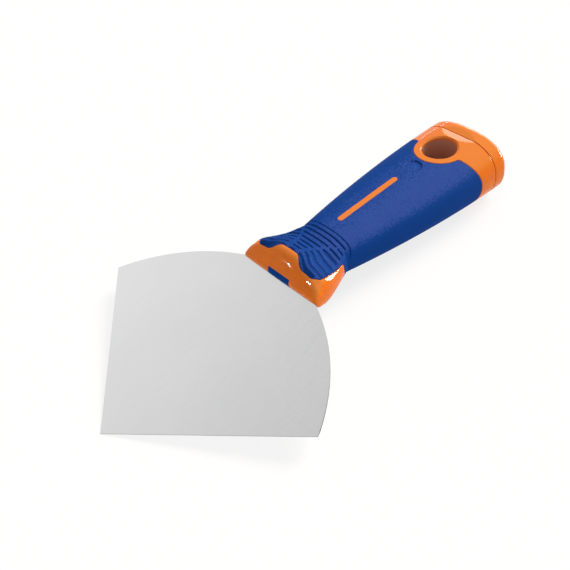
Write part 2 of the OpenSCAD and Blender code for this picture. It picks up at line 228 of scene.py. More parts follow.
@dataclass(frozen=True)
class HandleForm:
    """Outer form of the handle: a squared oval that narrows to a waist and swells to both ends.

    All sizes are in millimetres and angles in degrees. b is the angle from the crest, 0 along
    the top and bottom lines and 90 along the sides.
    """

    section_power: float = 2.5
    nose_power: float = 4.0
    square_y: float = 6.0
    nose_w: float = 48.0
    nose_h: float = 24.0
    lip_h: float = 4.0
    lip_r: float = 0.45
    crest_y: float = 8.6
    nose_corner: float = 1.0
    waist_w: float = 30.6
    waist_y: float = 27.0
    saddle_h: float = 18.8
    saddle_y: float = 21.0
    butt_w: float = 46.6
    butt_h: float = 31.0
    seam_y: float = 116.8
    seam_r: float = 0.3
    seam_rows: int = 6
    width_ease: float = 1.0
    height_ease: float = 0.25
    scoop_depth: float = 1.3
    scoop_angle: float = 46.0
    scoop_spread: float = 32.0
    scoop_start_y: float = 5.0
    peak_y: float = 8.8
    lobe_y: float = 4.6
    ear_y: float = 23.5
    peak_flat: float = 6.0
    peak_fall: float = 15.5
    lobe_rise: float = 3.3
    lobe_start: float = 36.0
    lobe_spread: float = 30.0
    ear_start: float = 55.0
    ear_spread: float = 22.0
    neck_end_y: float = 30.5
    neck_slant: float = 2.2
    slant_start: float = 50.0
    rear_side_y: float = 107.4
    rear_slope: float = 8.2
    side_ease: float = 0.12
    rear_blend: float = 1.2
    hole_d: float = 16.6
    hole_y: float = 103.2
    hole_rim: float = 4.0
    rim_fall: float = 3.0
    cap_len: float = 9.0
    cap_round: float = 3.4
    grip_t: float = 2.4
    edge_r: float = 0.35
    edge_rows: int = 6
    joint_gap: float = 0.04
    nudge: float = 0.05
    samples: int = 6001

    def half_width(self, y: Value) -> Value:
        """Half width: a quarter cosine from nose to waist, less a round corner, then a swell.

        Args:
            y: Places along the handle.

        Returns:
            Half widths in millimetres.
        """
        corner = self.nose_corner
        from_corner = np.clip(corner - y, 0, corner)
        front = mix(self.waist_w, self.nose_w, np.cos(np.pi / 2 * np.clip(y / self.waist_y, 0, 1)))
        rear = mix(self.waist_w, self.butt_w,
                   swell((y - self.waist_y) / (self.seam_y - self.waist_y), self.width_ease))
        cut = corner - np.sqrt(corner ** 2 - from_corner ** 2)
        return np.where(y < self.waist_y, front / 2 - cut, rear / 2)

    def half_height(self, y: Value) -> Value:
        """Half height: a quarter sine from lip to crest, a smooth dip to the saddle, then a swell.

        Args:
            y: Places along the handle.

        Returns:
            Half heights in millimetres.
        """
        rise = mix(self.lip_h, self.nose_h, np.sin(np.pi / 2 * np.clip(y / self.crest_y, 0, 1)))
        dip = mix(self.nose_h, self.saddle_h,
                  smooth((y - self.crest_y) / (self.saddle_y - self.crest_y)))
        back = mix(self.saddle_h, self.butt_h,
                   swell((y - self.saddle_y) / (self.seam_y - self.saddle_y), self.height_ease))
        return np.where(y < self.crest_y, rise, np.where(y < self.saddle_y, dip, back)) / 2

    def power(self, y: Value) -> Value:
        """Squareness of the section, which eases from the bolster's lips to the handle's."""
        return mix(self.nose_power, self.section_power, smooth(y / self.square_y))

    def from_crest(self, angle: Array) -> Array:
        """Angle from the crest in degrees, the same in all four quarters."""
        return 90 - np.degrees(np.arcsin(np.clip(np.abs(np.sin(angle)), 0, 1)))

    def scoop(self, y: Value, angle: Array) -> Array:
        """Thumb scoops: a squared cosine around the section times a squared sine along it.

        Args:
            y: Places along the handle.
            angle: Angles around the section in radians.

        Returns:
            Depths in millimetres.
        """
        around = np.abs(self.from_crest(angle) - self.scoop_angle) / self.scoop_spread
        along = (y - self.scoop_start_y) / (self.waist_y - self.scoop_start_y)
        return (self.scoop_depth * np.cos(np.pi / 2 * np.clip(around, 0, 1)) ** 2
                * np.sin(np.pi * np.clip(along, 0, 1)) ** 2)

    def skin(self, y: Value, angle: Array, inset: Value = 0.0) -> Array:
        """Points of the skin, a superellipse in each section.

        Args:
            y: Places along the handle.
            angle: Angles around the section in radians.
            inset: Depth below the skin.

        Returns:
            Points with a last axis of three.
        """
        drop = inset + self.scoop(y, angle)
        power = 2 / self.power(y)
        across, up = np.cos(angle), np.sin(angle)
        x = (self.half_width(y) - drop) * np.sign(across) * np.abs(across) ** power
        z = (self.half_height(y) - drop) * np.sign(up) * np.abs(up) ** power
        return np.stack(np.broadcast_arrays(x, y, z), axis=-1)

    def angle_of(self, points: Array, near: Array) -> Array:
        """Angle around the section of points that lie on the skin.

        Args:
            points: Points on or close to the skin.
            near: Angles close to the answer, which settle its turn.

        Returns:
            Angles in radians.
        """
        y = points[..., 1]
        drop = self.scoop(y, near)
        x = points[..., 0] / (self.half_width(y) - drop)
        z = points[..., 2] / (self.half_height(y) - drop)
        power = self.power(y) / 2
        angle = np.arctan2(np.sign(z) * np.abs(z) ** power, np.sign(x) * np.abs(x) ** power)
        return near + (angle - near + np.pi) % (2 * np.pi) - np.pi

    def top_angle(self, x: Array, y: Array) -> Array:
        """Angle of the point of the upper skin that lies over a place in plan."""
        share = np.clip(x / self.half_width(y), -1, 1)
        return np.arccos(np.sign(share) * np.abs(share) ** (self.power(y) / 2))

    def front_edge(self, angle: Array) -> Array:
        """Front edge of the grip: a peak on the crest, a sloping lobe each side, ears on flanks.

        Args:
            angle: Angles around the section in radians.

        Returns:
            Places along the handle.
        """
        b = self.from_crest(angle)
        peak = (self.peak_y - self.lobe_y) * (1 - smooth((b - self.peak_flat) / self.peak_fall))
        back = self.lobe_rise * smooth((b - self.lobe_start) / self.lobe_spread)
        ear = ((self.ear_y - self.lobe_y - self.lobe_rise)
               * smooth((b - self.ear_start) / self.ear_spread))
        return self.lobe_y + peak + back + ear

    def neck_end(self, angle: Array) -> Array:
        """Line behind the ribbed neck, straight over the top and slanted forward at the flanks."""
        share = (self.from_crest(angle) - self.slant_start) / (90 - self.slant_start)
        return self.neck_end_y - self.neck_slant * smooth(share)

    def rear_edge(self, angle: Array) -> Array:
        """Rear edge of the grip: slanted shoulders that end softly in a ring round the hole.

        Args:
            angle: Angles around the section in radians.

        Returns:
            Places along the handle.
        """
        b = self.from_crest(angle)
        up = 1 - b / 90
        x = self.half_width(self.hole_y) * np.sin(np.radians(b)) ** (2 / self.section_power)
        ring = self.hole_d / 2 + self.hole_rim
        shoulder = self.rear_side_y - self.rear_slope * up * up / (up + self.side_ease)
        rim = (self.hole_y - np.sqrt(np.maximum(0, ring ** 2 - x ** 2))
               + self.rim_fall * np.maximum(0, x - ring))
        return soft_min(shoulder, rim, self.rear_blend)

    def rolled_edge(self, y: Array, angle: Array, toward: Toward) -> Array:
        """Rings of the small round that leads from the skin down into the joint of core and grip.

        The outward direction is the product of the edge's and the handle's own directions, and
        the direction across is square to the outward one and the edge. A ring at turn u lies
        r(1 - sin u) and the joint's gap away from the edge, and r(1 - cos u) below the skin.

        Args:
            y: Place of the edge along the handle in each column.
            angle: Angles of the columns.
            toward: Side of the edge that the piece lies on.

        Returns:
            Rings from the skin to the wall.
        """
        points = self.skin(y, angle)
        tangent = np.roll(points, -1, axis=0) - np.roll(points, 1, axis=0)
        along = self.skin(y + self.nudge, angle) - self.skin(y - self.nudge, angle)
        outward = unit(np.cross(tangent, along))
        outward = outward * np.sign(np.sum(outward * points * (1, 0, 1), axis=-1, keepdims=True))
        across = unit(np.cross(outward, tangent))
        across = across * np.sign(np.sum(across * along, axis=-1, keepdims=True))
        below, away = (part[:, None, None] for part in quarter_round(self.edge_r, self.edge_rows))
        return points + toward.value * (self.joint_gap + away) * across - below * outward

    def column_angles(self, per_quarter: int) -> Array:
        """Angles of mesh columns, evenly spaced along both edges of the grip, mirrored by quarters.

        Args:
            per_quarter: Columns in a quarter turn.

        Returns:
            Angles of a whole turn in radians.
        """
        angle = np.linspace(0, np.pi / 2, self.samples)
        steps = [np.linalg.norm(np.diff(self.skin(edge(angle), angle), axis=0), axis=1)
                 for edge in (self.front_edge, self.rear_edge)]
        length = np.concatenate([[0], np.cumsum(steps[0] + steps[1])])
        quarter = np.interp(np.linspace(0, length[-1], per_quarter + 1), length, angle)
        half = np.concatenate([quarter[:-1], np.pi - quarter[:0:-1]])
        return np.concatenate([half, half + np.pi])


@dataclass(frozen=True)
class Rest:
    """How the knife lies on the table: on the lower side of the blade's tip and under the end cap.

    The blade is bent down at the bolster by the crank, and a bevel is ground under its two
    working edges. The whole knife is turned about X until both ends touch, and then centred.
    """

    form: HandleForm
    blade_w: float = 140.0
    blade_reach: float = 98.6
    shoulder_reach: float = 42.0
    blade_t: float = 0.8
    bevel_w: float = 3.0
    edge_t: float = 0.25
    crank: float = 10.4

    def turned(self, point: Pair, degrees: float) -> Pair:
        """Turns a point of the Y-Z plane about the origin."""
        cos, sin = math.cos(math.radians(degrees)), math.sin(math.radians(degrees))
        return point[0] * cos - point[1] * sin, point[0] * sin + point[1] * cos

    def placing(self) -> Point:
        """Lays a line under the tip and the butt, turns it level, and centres the knife.

        Returns:
            The tilt in degrees and the moves along Y and Z.
        """
        edge = math.atan((self.blade_reach - self.shoulder_reach) / (self.blade_w / 2))
        bevel_y = self.bevel_w / math.cos(edge) - self.blade_reach
        tips = (self.turned((-self.blade_reach, self.blade_t / 2 - self.edge_t), self.crank),
                self.turned((bevel_y, -self.blade_t / 2), self.crank))
        end = self.form.seam_y + self.form.cap_len
        butt = (end - self.form.cap_round, -self.form.butt_h / 2)
        tilt = max(math.degrees(math.atan((butt[1] - tip[1]) / (butt[0] - tip[0]))) for tip in tips)
        front = self.turned(self.turned((-self.blade_reach, self.blade_t / 2), self.crank), -tilt)
        rear = self.turned((end, self.form.butt_h / 2 - self.form.cap_round), -tilt)
        return tilt, -(front[0] + rear[0]) / 2, -self.turned(butt, -tilt)[1]

    def to_row(self, points: Array) -> Array:
        """Turns points in millimetres in handle axes to metres in the frame.

        Args:
            points: Points with a last axis of three.

        Returns:
            Points in metres.
        """
        tilt, move_y, move_z = self.placing()
        cos, sin = math.cos(math.radians(tilt)), math.sin(math.radians(tilt))
        x, y, z = np.moveaxis(points, -1, 0)
        return np.stack([x, y * cos + z * sin + move_y, z * cos - y * sin + move_z], axis=-1) * MM


@dataclass
class Patch:
    """Grid of points, rows by columns by three, whose last column joins its first.

    The groove is the share of painted shade at each point: of full groove depth on the grip, and of
    the way into the hanging hole's bore on the core.
    """

    points: Array
    groove: Array | None = None

    def quads(self, start: int) -> Array:
        """Corner numbers of the grid's quads.

        Args:
            start: Number of the grid's first point.

        Returns:
            Rows of four numbers.
        """
        rows, columns = self.points.shape[:2]
        index = np.arange(rows * columns).reshape(rows, columns) + start
        index = np.column_stack([index, index[:, 0]])
        corners = [index[:-1, :-1], index[:-1, 1:], index[1:, 1:], index[1:, :-1]]
        return np.stack(corners, axis=-1).reshape(-1, 4)

    def depths(self) -> Array:
        """Groove share of every point in one row of numbers."""
        count = self.points.shape[0] * self.points.shape[1]
        return np.zeros(count) if self.groove is None else self.groove.reshape(-1)


def weld(patches: list[Patch]) -> tuple[Array, Array, list[list[int]]]:
    """Joins patches where their points meet; quads with two corners in one become triangles.

    Args:
        patches: Grids that share their border points.

    Returns:
        Points, groove shares and faces.
    """
    points = np.concatenate([patch.points.reshape(-1, 3) for patch in patches])
    groove = np.concatenate([patch.depths() for patch in patches])
    starts = np.cumsum([0] + [len(patch.depths()) for patch in patches])
    quads = np.concatenate([patch.quads(start) for patch, start in zip(patches, starts)])
    key = np.round(points / WELD).astype(np.int64)
    _, first, same = np.unique(key, axis=0, return_index=True, return_inverse=True)
    quads = same.reshape(-1)[quads]
    moves = quads != np.roll(quads, -1, axis=1)
    whole = quads[moves.all(axis=1)]
    pinched = moves.sum(axis=1) == 3
    triangles = quads[pinched][moves[pinched]].reshape(-1, 3)
    return points[first], groove[first], whole.tolist() + triangles.tolist()


@dataclass
class Piece:
    """One closed piece of the handle. Its edges are smooth up to the crease angle in degrees."""

    name: ClassVar[str]
    body: ClassVar[Body] = Body.KNIFE
    slot: ClassVar[Slot] = Slot.CORE
    stands_for: ClassVar[tuple[str, ...]] = ()
    crease: ClassVar[float] = 40.0

    form: HandleForm

    def patches(self) -> list[Patch]:
        """Grids in millimetres in handle axes that together close the piece."""
        raise NotImplementedError

    def build(self, rest: Rest, material: bpy.types.Material) -> None:
        """Welds the patches into one mesh, dresses it, and gives it its body and nodes.

        Args:
            rest: Place of the handle on the table.
            material: Material to show.
        """
        points, groove, faces = weld(self.patches())
        mesh = bpy.data.meshes.new(self.name)
        mesh.from_pydata(rest.to_row(points).tolist(), [], faces)
        net = bmesh.new()
        net.from_mesh(mesh)
        bmesh.ops.recalc_face_normals(net, faces=net.faces)
        net.to_mesh(mesh)
        net.free()
        # The groove attribute carries the share of painted shade to the materials.
        mesh.attributes.new("groove", "FLOAT", "POINT").data.foreach_set("value", groove)
        mesh.shade_smooth()
        mesh.set_sharp_from_angle(angle=math.radians(self.crease))
        mesh.materials.append(material)
        piece = add_object(self.name, mesh)
        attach(piece, self.body.value)
        if self.stands_for:
            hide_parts(*self.stands_for)
        LOG.info("%s: %d points, %d faces", self.name, len(mesh.vertices), len(mesh.polygons))


@dataclass(frozen=True)
class NailNick:
    """Shallow notch over the seam for a finger nail: a slope in the core, a steeper in the cap."""

    y: float
    crown: float
    ramp: float = 6.8
    wall: float = 4.1
    depth: float = 0.9
    blend: float = 0.03

    def cut(self, points: Array) -> Array:
        """Lowers points of the upper skin to the soft minimum of it and the notch's two slopes.

        Args:
            points: Points with a last axis of three.

        Returns:
            The points with the notch cut in.
        """
        x, y, z = np.moveaxis(points, -1, 0)
        rise = np.where(y < self.y, (self.y - y) / self.ramp, (y - self.y) / self.wall)
        floor = self.crown + self.depth * (rise - 1)
        return np.stack([x, y, np.where(z > 0, soft_min(z, floor, self.blend), z)], axis=-1)


@dataclass
class CoreMoulding(Piece):
    """Orange core: bolster, hidden spine and butt with the hanging hole and the cap's socket."""

    name = "core_moulding"
    stands_for = ("handle_core",)

    angles: Array
    nick: NailNick
    rim_w: float = 0.9
    rim_drop: float = 0.8
    rim_hollow: float = 1.2
    bore_fade: float = 0.05
    seam_face: float = 1.5
    socket_wall: float = 3.0
    socket_depth: float = 3.5
    pocket_w: float = 5.4
    pocket_h: float = 14.0
    pocket_x: float = 14.0
    pocket_len: float = 26.0
    pocket_turn: float = 0.3
    lip_rows: int = 7
    nose_rows: int = 49
    nose_crowding: float = 1.3
    spine_rows: int = 14
    side_rows: int = 13
    arc_samples: int = 2001
    rim_rows: int = 9
    web_rows: int = 30
    bore_rows: int = 41
    floor_rows: int = 7
    middle_rows: int = 25

    def bolster_rings(self, end: Array) -> Array:
        """Rings of the nose: a closed end face, a rounded lip, and the skin up to the grip's edge.

        Args:
            end: Ring on the skin where the face ends.

        Returns:
            Rings from the middle of the end face to just before the end ring.
        """
        form, angle = self.form, self.angles
        back, inset = quarter_round(form.lip_r, self.lip_rows)
        lip = form.skin(back[:, None], angle, inset[:, None])
        share = shares(self.nose_rows)[1:-1] ** self.nose_crowding
        face = form.skin(mix(form.lip_r, end[:, 1], share),
                         mix(angle, form.angle_of(end, angle), share))
        return np.concatenate([lip[:1] * (1, 1, 0), lip, face])

    def seam_rings(self) -> Array:
        """Rings of the rounded seam edge, the seam face and the socket's wall.

        Returns:
            Rings from the skin to the socket's floor.
        """
        form, angle, seam = self.form, self.angles, self.form.seam_y
        inset, before = quarter_round(form.seam_r, form.seam_rows)
        edge = form.skin(seam - before[:, None], angle, inset[:, None])
        wall = form.skin(seam, angle, self.socket_wall)
        floor = wall - (0, self.socket_depth, 0)
        face = self.nick.cut(form.skin(seam, angle, self.seam_face))
        return np.concatenate([self.nick.cut(edge), [face, wall, floor]])

    def butt_patches(self, front: Array, seam: Array) -> list[Patch]:
        """Upper and lower skin of the butt with the dished rim of the hole, and the bore.

        A ring of the rim at share t lies w t outside the bore and d(1 - t)^h below the skin.
        Each skin is a web of straight lines, in angle and place along the handle, from the rim
        of the hole to the border of its half. A line keeps its direction as seen from the hole.

        Args:
            front: Ring on the skin just behind the grip's rear edge.
            seam: Ring on the skin just before the seam.

        Returns:
            Patches of the butt.
        """
        form, half = self.form, len(self.angles) // 2
        share = shares(self.side_rows)[1:-1, 0]
        right_angle, left_angle = np.zeros(len(share)), np.full(len(share), np.pi)
        left = form.skin(mix(front[half, 1], seam[half, 1], share), left_angle)
        right = form.skin(mix(seam[0, 1], front[0, 1], share), right_angle)
        border = np.concatenate([front[:half + 1], left, seam[half::-1], right])
        near = np.concatenate([self.angles[:half + 1], left_angle, self.angles[half::-1],
                               right_angle])
        outer_angle = np.clip(form.angle_of(border, near), 0, np.pi)

        arc_angle = np.linspace(0, np.pi, self.arc_samples)
        arc = form.skin(form.hole_y, arc_angle)
        length = np.concatenate([[0], np.cumsum(np.linalg.norm(np.diff(arc, axis=0), axis=1))])
        aside = np.interp(outer_angle, arc_angle, length[-1] / 2 - length)
        turn = np.arctan2(border[:, 1] - form.hole_y, aside)

        share = shares(self.rim_rows)
        reach = form.hole_d / 2 + self.rim_w * share
        x, y = reach * np.cos(turn), form.hole_y + reach * np.sin(turn)
        rim_angle = form.top_angle(x, y)
        drop = self.rim_drop * (1 - share) ** self.rim_hollow
        rim = form.skin(y, rim_angle) - drop[..., None] * (0, 0, 1)

        out = shares(self.web_rows)[1:-1]
        web = form.skin(mix(y[-1], border[:, 1], out), mix(rim_angle[-1], outer_angle, out))
        skin = np.concatenate([rim, web, border[None]])
        down = shares(self.bore_rows)
        bore = mix(rim[0], rim[0] * (1, 1, -1), down[..., None])
        # Painted shade in the bore: a share that rises from 0 at both mouths to 1 inside, which the
        # material turns a dull brown.
        shade = smooth(np.minimum(down, 1 - down) / self.bore_fade)
        shade = np.broadcast_to(shade, bore.shape[:2])
        return [Patch(self.nick.cut(skin)), Patch(skin * (1, 1, -1)), Patch(bore, shade)]

    def socket_patches(self, wall: Array) -> list[Patch]:
        """Floor of the cap's socket with its two coring pockets.

        Each half of the floor is a web of straight lines from a pocket's mouth to its border.

        Args:
            wall: Ring where the socket's wall meets its floor.

        Returns:
            Patches of the floor, the pockets' walls and their ends.
        """
        quarter = len(self.angles) // 4
        arc = wall[np.arange(-quarter, quarter + 1)]
        line = mix(arc[-1], arc[0], shares(self.middle_rows)[1:-1])
        border = np.concatenate([arc, line])
        turn = np.arctan2(border[:, 2], border[:, 0] - self.pocket_x)
        radius = self.pocket_w / 2
        rise = (self.pocket_h / 2 - radius) * np.clip(np.sin(turn) / self.pocket_turn, -1, 1)
        mouth = np.stack([self.pocket_x + radius * np.cos(turn), border[:, 1],
                          radius * np.sin(turn) + rise], axis=-1)
        deep = mouth - (0, self.pocket_len, 0)
        middle = np.broadcast_to(deep.mean(axis=0), deep.shape)
        floor = mix(mouth, border, shares(self.floor_rows)[..., None])
        rings = np.concatenate([[middle, deep], floor])
        return [Patch(rings), Patch(rings * (-1, 1, 1))]

    def patches(self) -> list[Patch]:
        """Nose, joint edges and spine in one tube, then the seam, the butt and the socket.

        Returns:
            Patches of the core.
        """
        form, angle = self.form, self.angles
        front_y, rear_y = form.front_edge(angle), form.rear_edge(angle)
        nose = form.rolled_edge(front_y, angle, Toward.BLADE)
        butt = form.rolled_edge(rear_y, angle, Toward.BUTT)
        spine = form.skin(mix(front_y, rear_y, shares(self.spine_rows)), angle, form.grip_t)
        tube = np.concatenate([self.bolster_rings(nose[0]), nose, spine, butt[::-1]])
        seam = self.seam_rings()
        before_seam = form.skin(form.seam_y - form.seam_r, angle)
        return [Patch(tube), Patch(seam), *self.butt_patches(butt[0], before_seam),
                *self.socket_patches(seam[-1])]


@dataclass
class SoftGrip(Piece):
    """Blue soft grip: a sleeve with a ribbed neck, fanned thumb grooves and a round gate mark."""

    name = "grip_sleeve"
    slot = Slot.GRIP
    stands_for = ("soft_grip",)

    angles: Array
    mould_fit: float = 0.05
    rib_depth: float = 0.55
    rib_count: int = 8
    rib_y: float = 9.4
    rib_pitch: float = 2.67
    thin_groove: float = 0.42
    wide_groove: float = 0.95
    wall_end: float = 1.25
    fan_start: float = 5.0
    fan_step: float = 1.6
    fan_curl: float = 0.0383
    fan_power: float = 3.6
    fan_gap: float = 2.4
    fan_soft: float = 1.2
    sway: float = 3.9
    sway_y: float = 11.0
    sway_fade: float = 10.5
    sway_spread: float = 22.0
    widen_spread: float = 14.0
    widen_last: float = 4.0
    widen_fade: float = 1.5
    side_end: float = 60.0
    first_side_end: float = 44.0
    end_soft: float = 2.5
    line_depth: float = 0.35
    line_w: float = 0.3
    line_end: float = 74.0
    line_soft: float = 12.0
    mark_r: float = 4.1
    mark_y: float = 85.0
    mark_depth: float = 0.75
    mark_soft: float = 0.2
    neck_rows: int = 111
    waist_rows: int = 45
    waist_crowding: float = 1.7
    waist_share: float = 0.78
    rear_rows: int = 58
    inner_rows: int = 12

    def groove_profile(self, off: Array, width: Value) -> Array:
        """Share of full depth at a distance from a groove's middle: flat, then a smooth wall."""
        return smooth(self.wall_end - off / width)

    def rib(self, number: int, y: Array, b: Array) -> Array:
        """Share of full depth of one groove and of its swept part.

        The groove runs straight across the top as far as the fan line, which lies at the angle
        start + step k + curl k^power from the crest. Behind a short gap it goes on, swept
        forward by an S-shaped step and widened, to its end on the flank.

        Args:
            number: Number of the groove, counted from the front.
            y: Places along the handle.
            b: Angles from the crest in degrees.

        Returns:
            Shares from 0 to 1.
        """
        place = self.rib_y + self.rib_pitch * number
        past = (b - self.fan_start - self.fan_step * number
                - self.fan_curl * number ** self.fan_power)
        across = (self.groove_profile(np.abs(y - place), self.thin_groove)
                  * (1 - smooth((past + self.fan_gap + self.fan_soft) / (2 * self.fan_soft))))
        if number == self.rib_count - 1:
            return across
        sway = self.sway * (1 - smooth((place - self.sway_y) / self.sway_fade))
        beyond = past - self.fan_gap
        swept = np.abs(y - place + sway * smooth(beyond / self.sway_spread))
        widening = (smooth(beyond / self.widen_spread)
                    * (1 - smooth((number - self.widen_last) / self.widen_fade)))
        end = self.side_end if number else self.first_side_end
        side = (self.groove_profile(swept, mix(self.thin_groove, self.wide_groove, widening))
                * smooth((beyond + self.fan_soft) / (2 * self.fan_soft))
                * (1 - smooth((b - end) / self.end_soft)))
        return np.maximum(across, side)

    def grooves(self, y: Array, angle: Array) -> Array:
        """Depth of the neck's grooves and of the line behind the neck.

        Args:
            y: Places along the handle.
            angle: Angles around the section.

        Returns:
            Depths in millimetres.
        """
        b = self.form.from_crest(angle)
        ribs = np.max([self.rib(number, y, b) for number in range(self.rib_count)], axis=0)
        line = (self.groove_profile(np.abs(y - self.form.neck_end(angle)), self.line_w)
                * (1 - smooth((b - self.line_end) / self.line_soft)))
        return np.maximum(self.rib_depth * ribs, self.line_depth * line)

    def mark(self, points: Array) -> Array:
        """Presses the round gate mark in: a floor that falls to the rear, with a short smooth wall.

        Args:
            points: Points of the outer skin.

        Returns:
            The points with the mark pressed in.
        """
        x, y, z = np.moveaxis(points, -1, 0)
        back = y - self.mark_y
        floor = z - self.mark_depth * np.clip(0.5 + back / (2 * self.mark_r), 0, 1)
        inside = smooth((self.mark_r - np.hypot(x, back)) / self.mark_soft + 0.5)
        return np.stack([x, y, np.where(z > 0, mix(z, floor, inside), z)], axis=-1)

    def patches(self) -> list[Patch]:
        """One sleeve: the outer skin between its two rolled edges, and the inner one.

        Returns:
            The sleeve's patch.
        """
        form, angle = self.form, self.angles
        front_y, rear_y = form.front_edge(angle), form.rear_edge(angle)
        end_y = form.neck_end(angle)
        front = form.rolled_edge(front_y, angle, Toward.BUTT)
        rear = form.rolled_edge(rear_y, angle, Toward.BLADE)
        neck = shares(self.neck_rows)[1:]
        waist = self.waist_share * shares(self.waist_rows)[1:] ** self.waist_crowding
        back = np.linspace(self.waist_share, 1, self.rear_rows)[1:-1, None]
        body = np.concatenate([waist, back])
        y = np.concatenate([mix(front[0, :, 1], end_y, neck), mix(end_y, rear[0, :, 1], body)])
        turn = np.concatenate([mix(form.angle_of(front[0], angle), angle, neck),
                               mix(angle, form.angle_of(rear[0], angle), body)])
        depth = self.grooves(y, turn)
        outer = self.mark(form.skin(y, turn, depth))

        inset = form.grip_t - self.mould_fit
        inner = form.skin(mix(rear_y, front_y, shares(self.inner_rows)), angle, inset)
        rings = np.concatenate([inner[-1:], front[::-1], outer, rear, inner])
        # Painted shade: the share of full groove depth, which the material turns into darker
        # grooves.
        groove = np.zeros(rings.shape[:2])
        start = 1 + len(front)
        groove[start:start + len(outer)] = depth / self.rib_depth
        return [Patch(rings, groove)]


@dataclass
class EndCap(Piece):
    """Orange end cap: a shell with a rounded rear rim and a spigot that plugs into the core."""

    name = "cap_shell"
    body = Body.CAP
    slot = Slot.CAP
    stands_for = ("end_cap",)

    angles: Array
    nick: NailNick
    cap_wall: float = 2.0
    floor_extra: float = 1.0
    seam_gap: float = 0.4
    spigot_inset: float = 3.3
    spigot_y: float = 113.6
    side_rows: int = 32
    rim_rows: int = 18
    disc_rows: int = 12
    hollow_rows: int = 5

    def rings(self, y: Array, inset: Array) -> Array:
        """Rings of the seam's own section, moved along the handle to y and set in."""
        section = self.form.skin(self.form.seam_y, self.angles, inset[:, None])
        return section * (1, 0, 1) + y[:, None, None] * (0, 1, 0)

    def patches(self) -> list[Patch]:
        """Rings of the hollow, the spigot, the seam edge, the side, the rim and the end.

        The rim at turn u lies R(1 - cos u) inside the skin and R(1 - sin u) before the end.

        Returns:
            The cap's patch.
        """
        form = self.form
        front, end = form.seam_y + self.seam_gap, form.seam_y + form.cap_len
        after, inset = quarter_round(form.seam_r, form.seam_rows)
        lead = self.rings(front + after, inset)
        straight = np.linspace(front + form.seam_r, end - form.cap_round, self.side_rows)[1:-1]
        side = self.rings(straight, np.zeros_like(straight))
        inset, before = quarter_round(form.cap_round, self.rim_rows)
        rim = self.rings(end - before, inset)
        disc = mix(rim[-1], (0, end, 0), shares(self.disc_rows)[1:, :, None])
        floor_y = end - self.cap_wall - self.floor_extra
        outer, inner = self.spigot_inset, self.spigot_inset + self.cap_wall
        spigot = self.rings(np.array([front, self.spigot_y, self.spigot_y, floor_y]),
                            np.array([outer, outer, inner, inner]))
        hollow = mix((0, floor_y, 0), spigot[-1], shares(self.hollow_rows)[:-1, :, None])
        rings = np.concatenate([hollow, spigot[::-1], lead, side, rim, disc])
        return [Patch(self.nick.cut(rings))]


@dataclass
class WindowPlug(Piece):
    """Soft plug that shows in the bolster's windows, above and below the blade."""

    name = "window_plug"
    slot = Slot.PLUG
    stands_for = ("lock_plug",)
    crease = 60.0

    half_w: float = 6.95
    top: float = 3.38
    bottom: float = 0.43
    flat_top: float = 0.8
    crowned_from: float = 1.2
    proud: float = 0.04
    depth: float = 1.2
    lip_rows: int = 8
    slope_rows: int = 6
    slope_samples: int = 200
    columns: int = 25

    def patches(self) -> list[Patch]:
        """Both faces of the plug: the bolster's own front profile carried across it.

        Returns:
            Patches of the upper and the lower face.
        """
        form, lip_r = self.form, self.form.lip_r
        lip_y, drop = quarter_round(lip_r, self.lip_rows)
        lip_z = form.half_height(lip_y) - drop
        samples = np.linspace(lip_r, form.crest_y, self.slope_samples)
        top_y = np.interp(self.top, form.half_height(samples), samples)
        slope_y = np.linspace(lip_r, top_y, self.slope_rows)[1:]
        y = np.concatenate([[0.0, 0.0], lip_y, slope_y]) - self.proud
        z = np.concatenate([[self.bottom, self.flat_top], lip_z, form.half_height(slope_y)])
        y = np.append(y, [top_y + self.depth, self.depth])
        z = np.append(z, [self.top, self.bottom])
        x = self.half_w * np.sin(np.linspace(-np.pi / 2, np.pi / 2, self.columns))[:, None]
        power = form.power(lip_r)
        crown = (1 - np.abs(x / form.half_width(lip_r)) ** power) ** (1 / power)
        height = z * np.where(z > self.crowned_from, crown, 1)
        face = np.stack(np.broadcast_arrays(x, y, height), axis=-1)
        ends = [np.broadcast_to(end.mean(axis=0), end.shape) for end in (face[0], face[-1])]
        rings = np.concatenate([ends[:1], face, ends[1:]])
        return [Patch(rings), Patch(rings * (1, 1, -1))]


@dataclass
class InlayBar(Piece):
    """Plain round-ended bar let into the top of the grip."""

    name = "inlay_bar"
    crease = 60.0

    start_y: float = 37.0
    end_y: float = 74.0
    half_w: float = 1.5
    proud: float = 0.08
    sunk: float = 0.5
    flatness: float = 0.35
    end_rows: int = 14
    side_rows: int = 40
    columns: int = 48

    def patches(self) -> list[Patch]:
        """Flat oval section, w sqrt(1 - u^2) wide at the bar's ends, that follows the skin.

        Returns:
            The bar's patch.
        """
        radius = self.half_w
        first, last = self.start_y + radius, self.end_y - radius
        after, before = quarter_round(radius, self.end_rows)
        y = np.concatenate([self.start_y + after, np.linspace(first, last, self.side_rows)[1:-1],
                            self.end_y - before])
        beyond = np.maximum(0, np.maximum(first - y, y - last))
        width = np.sqrt(np.maximum(0, radius ** 2 - beyond ** 2))[:, None]
        around = np.linspace(0, 2 * np.pi, self.columns, endpoint=False)
        across, up = np.cos(around), np.sin(around)
        x = width * np.sign(across) * np.abs(across) ** self.flatness
        lift = np.where(up > 0, self.proud, -self.sunk) * np.abs(up) ** self.flatness
        place = np.broadcast_to(y[:, None], x.shape)
        top = self.form.skin(place, self.form.top_angle(x, place))
        return [Patch(top + lift[:, None] * (0, 0, 1) * (width > 0)[..., None])]


